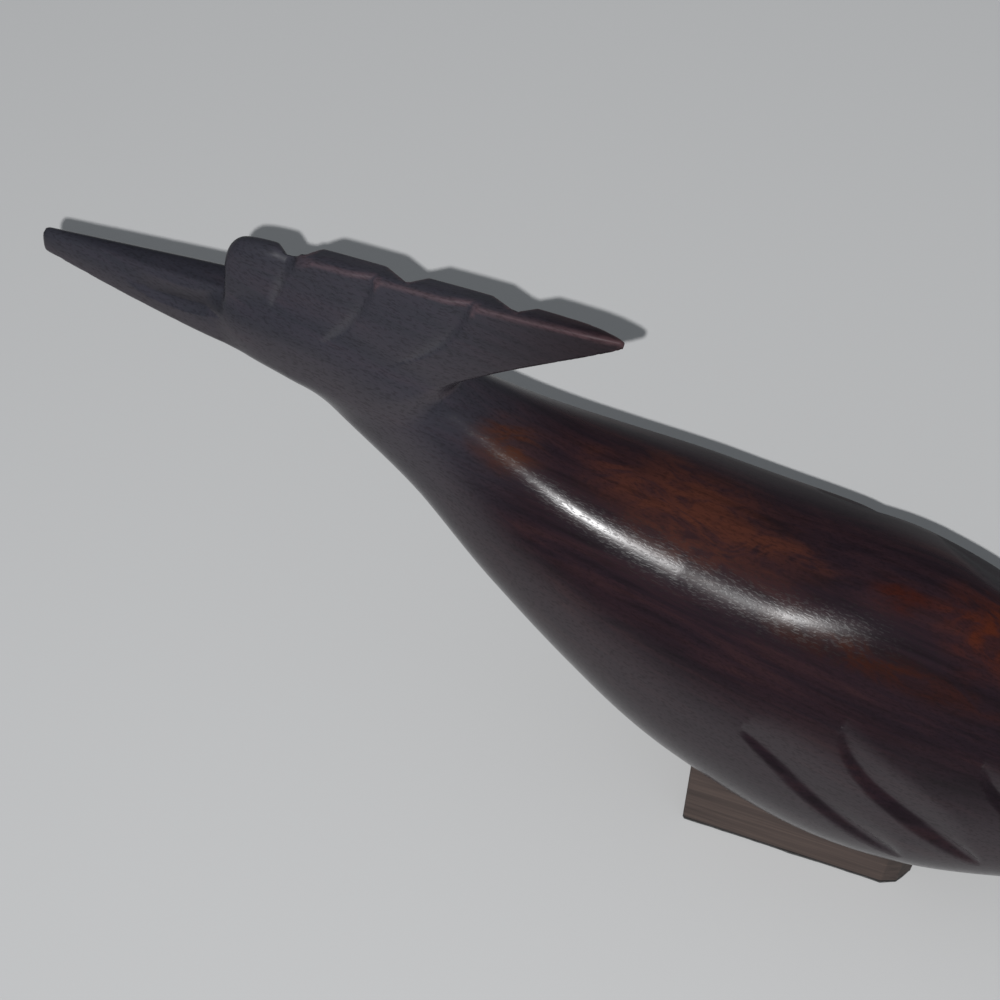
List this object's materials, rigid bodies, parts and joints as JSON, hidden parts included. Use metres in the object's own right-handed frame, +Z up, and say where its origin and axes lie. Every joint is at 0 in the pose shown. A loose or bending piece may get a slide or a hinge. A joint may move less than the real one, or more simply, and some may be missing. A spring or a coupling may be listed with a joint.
{
  "type": "carved wooden roadrunner figurine",
  "caption": "Polished dark hardwood bird ornament with a long beak, notched crest, gouged wings and pegged tail blade, standing on a small sawn wooden foot with a felt pad.",
  "frame": {"origin": "middle of the underside of the felt pad, where the ornament stands", "axes": "+Z up; the bird looks along -X and its tail points along +X; -Y is the side the picture shows"},
  "size_m": [0.2806, 0.0418, 0.089],
  "materials": {
    "polished_ironwood": "hand polished to a soft gloss",
    "sawn_wood": "sawn, unpolished",
    "felt": "pressed felt",
    "dowel_wood": "turned, unfinished"
  },
  "bodies": {
    "root": {"carved_body": "polished_ironwood", "tail": "polished_ironwood", "foot_block": "sawn_wood", "felt_pad": "felt", "foot_dowel_front": "dowel_wood", "foot_dowel_rear": "dowel_wood", "tail_dowel_near": "dowel_wood", "tail_dowel_far": "dowel_wood"}
  },
  "joints": []
}
